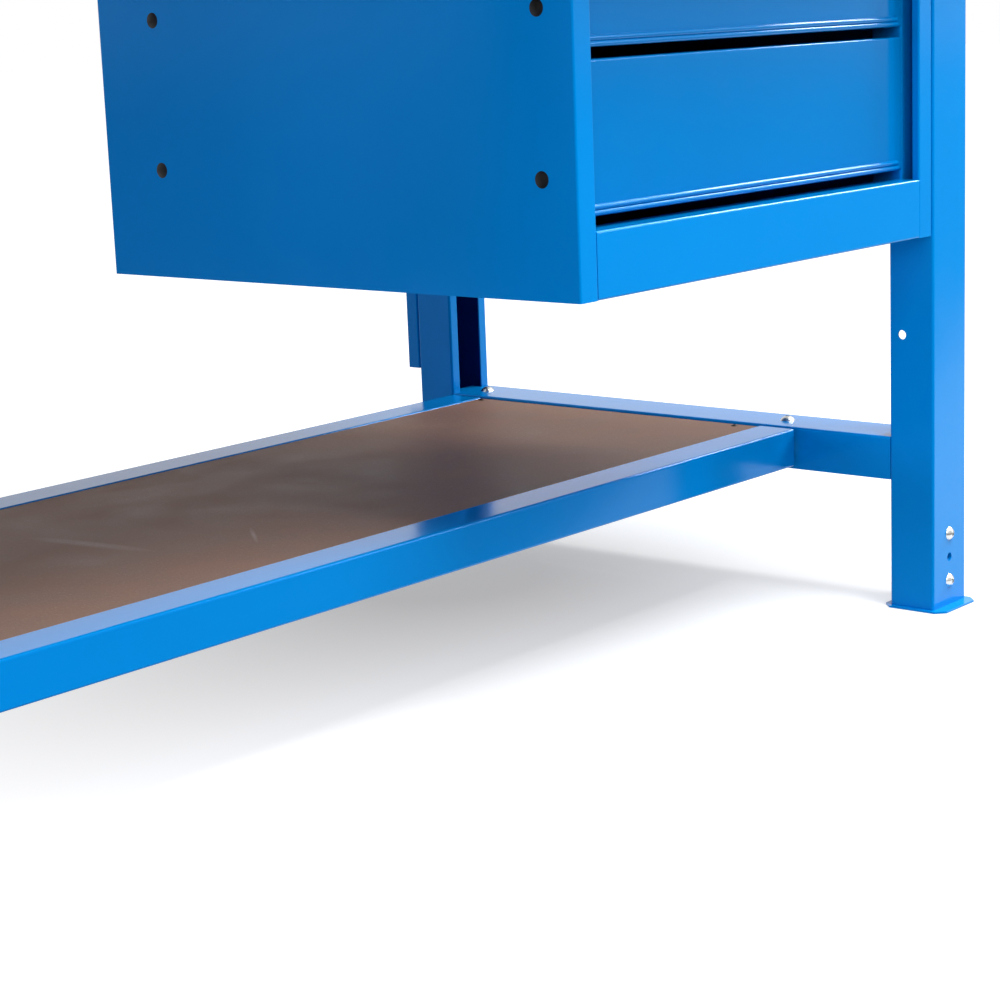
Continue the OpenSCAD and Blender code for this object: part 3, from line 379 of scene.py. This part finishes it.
# The studio: white paper on the floor, and large soft lamps. To the camera the paper glows out to white and keeps the
# bench's shadow; its glow is weakest round a spot under the drawers, so that this shadow is deepened with painted
# shadow. In the gloss of the paint and the zinc the paper is white behind a line along the bench's front edge and out
# to about three metres, and a flat painted grey in front of that line and beyond: a painted reflection, seen only in
# gloss.
PAPER_WIDE = 40
PAPER_UNDER_FEET = 0.0006
PAPER_GREY = (0.6, 0.6, 0.6, 1)
WHITE = (1, 1, 1, 1)
DARKEST_UNDER_DRAWERS = (0.52, 0.25, 0.0)
SHADE_STARTS, SHADE_ENDS = 0.12, 0.95
GLOW_IN_SHADE, GLOW_OUTSIDE, PAINTED_REFLECTION_GREY = 0.4, 1.0, 0.2
REFLECTION_EDGE_ACROSS = (0.408, 0.913, 0.0)
REFLECTION_EDGE_STARTS, REFLECTION_EDGE_ENDS = -0.145, -0.205
WHITE_REFLECTION_FADES, WHITE_REFLECTION_ENDS = 2.6, 3.4
bpy.ops.mesh.primitive_plane_add(size=PAPER_WIDE, location=(0, 0, -PAPER_UNDER_FEET))
floor = bpy.context.active_object
floor.name = "floor"
paper = bpy.data.materials.new("white studio paper")
paper.use_nodes = True
tree = paper.node_tree
tree.nodes.clear()
seen = add(tree, "ShaderNodeLightPath")
shine = add(tree, "ShaderNodeMath", {"operation": "MAXIMUM"}, {
    0: seen.outputs["Is Glossy Ray"], 1: seen.outputs["Is Transmission Ray"]})
shown = add(tree, "ShaderNodeMath", {"operation": "MAXIMUM"}, {
    0: seen.outputs["Is Camera Ray"], 1: shine.outputs["Value"]})
place = add(tree, "ShaderNodeTexCoord").outputs["Object"]
# Painted shadow: the glow is weaker near the spot under the drawers and rises to white further out.
from_bench = add(tree, "ShaderNodeVectorMath", {"operation": "DISTANCE", 1: DARKEST_UNDER_DRAWERS}, {0: place})
outward = add(tree, "ShaderNodeMapRange", {
    "From Min": SHADE_STARTS, "From Max": SHADE_ENDS, "To Min": GLOW_IN_SHADE, "To Max": GLOW_OUTSIDE}, {
    "Value": from_bench.outputs["Value"]})
glow = add(tree, "ShaderNodeMath", {"operation": "MULTIPLY"}, {
    0: shown.outputs["Value"], 1: outward.outputs["Result"]})
# Painted reflection: in front of the edge line and far off, gloss sees only a flat grey instead of the lit paper.
before_edge = add(tree, "ShaderNodeVectorMath", {"operation": "DOT_PRODUCT", 1: REFLECTION_EDGE_ACROSS}, {0: place})
before_edge = add(tree, "ShaderNodeMapRange", {
    "interpolation_type": "SMOOTHSTEP", "From Min": REFLECTION_EDGE_STARTS, "From Max": REFLECTION_EDGE_ENDS}, {
    "Value": before_edge.outputs["Value"]})
far_off = add(tree, "ShaderNodeMapRange", {
    "interpolation_type": "SMOOTHSTEP", "From Min": WHITE_REFLECTION_FADES, "From Max": WHITE_REFLECTION_ENDS}, {
    "Value": from_bench.outputs["Value"]})
painted_reflection = add(tree, "ShaderNodeMath", {"operation": "MAXIMUM"}, {
    0: before_edge.outputs["Result"], 1: far_off.outputs["Result"]})
painted_reflection = add(tree, "ShaderNodeMath", {"operation": "MULTIPLY"}, {0: painted_reflection.outputs["Value"], 1: shine.outputs["Value"]})
body = add(tree, "ShaderNodeBsdfDiffuse", {"Color": PAPER_GREY})
lit = add(tree, "ShaderNodeEmission", {"Color": WHITE}, {"Strength": glow.outputs["Value"]})
both = add(tree, "ShaderNodeAddShader", links={0: body.outputs["BSDF"], 1: lit.outputs["Emission"]})
# The flat grey of the painted reflection.
grey_seen_in_gloss = add(tree, "ShaderNodeEmission", {"Color": WHITE, "Strength": PAINTED_REFLECTION_GREY})
either = add(tree, "ShaderNodeMixShader", links={
    0: painted_reflection.outputs["Value"], 1: both.outputs["Shader"], 2: grey_seen_in_gloss.outputs["Emission"]})
add(tree, "ShaderNodeOutputMaterial", links={"Surface": either.outputs["Shader"]})
floor.data.materials.append(paper)

# The studio's walls and ceiling: dim where they only light the bench, and white where the camera, the
# gloss of the paint or the zinc shows them.
ROOM_LIGHT, ROOM_WHITE = 0.15, 1.0
world = bpy.data.worlds.new("studio")
bpy.context.scene.world = world
world.use_nodes = True
tree = world.node_tree
tree.nodes.clear()
seen = add(tree, "ShaderNodeLightPath")
shown = add(tree, "ShaderNodeMath", {"operation": "MAXIMUM"}, {
    0: seen.outputs["Is Camera Ray"], 1: seen.outputs["Is Glossy Ray"]})
shown = add(tree, "ShaderNodeMath", {"operation": "MAXIMUM"}, {
    0: shown.outputs["Value"], 1: seen.outputs["Is Transmission Ray"]})
level = add(tree, "ShaderNodeMapRange", {"To Min": ROOM_LIGHT, "To Max": ROOM_WHITE}, {
    "Value": shown.outputs["Value"]})
sky = add(tree, "ShaderNodeBackground", {"Color": WHITE}, {"Strength": level.outputs["Result"]})
add(tree, "ShaderNodeOutputWorld", links={"Surface": sky.outputs["Background"]})

# The lamps: a large softbox over the front, two cooler ones that fill from the left, and two strip
# lamps at the right that draw the bright lines along bends and beads.


def softbox(name, place, aim, size, watts, colour=(1, 1, 1)):
    """A rectangular lamp, width by height in metres, that points at a spot."""
    lamp = bpy.data.lights.new(name, "AREA")
    lamp.shape, lamp.size, lamp.size_y, lamp.energy, lamp.color = "RECTANGLE", size[0], size[1], watts, colour
    holder = bpy.data.objects.new(name, lamp)
    holder.location = place
    holder.rotation_mode = "QUATERNION"
    holder.rotation_quaternion = (Vector(aim) - Vector(place)).to_track_quat("-Z", "Y")
    holder.visible_camera = False
    bpy.context.scene.collection.objects.link(holder)
    return holder


COOL = linear("#DDE9FF")[:3]
softbox("top softbox, in front", place=(0.5, -1.75, 3.5), aim=(0.1, -0.2, 0.4), size=(2.0, 1.3), watts=185)
softbox(
    "fill softbox, left front", place=(-1.3, -1.6, 1.2), aim=(0.1, -0.1, 0.4), size=(0.8, 0.8), watts=16, colour=COOL)
low_lamp = softbox(
    "low softbox, left rear", place=(-2.0, 1.6, 0.5), aim=(0.5, 0.2, 0.35), size=(0.8, 0.6), watts=19, colour=COOL)
low_lamp.visible_glossy = False
strips = [
    softbox("strip softbox, right", place=(2.45, -0.72, 1.85), aim=(0.4, -0.31, 0.46), size=(0.5, 1.1), watts=60),
    softbox(
        "strip softbox, right front", place=(2.45, -2.15, 1.5), aim=(0.1, -0.14, 0.18), size=(0.3, 1.3), watts=18)]

# Flags keep the strip lamps off the paper, so that they throw no second shadow on it.
flagged = bpy.data.collections.new("flagged off from the strip lamps")
flagged.objects.link(floor)
flagged.collection_objects[0].light_linking.link_state = "EXCLUDE"
for strip_lamp in strips:
    strip_lamp.light_linking.receiver_collection = flagged

bpy.context.scene.view_settings.view_transform = "Standard"
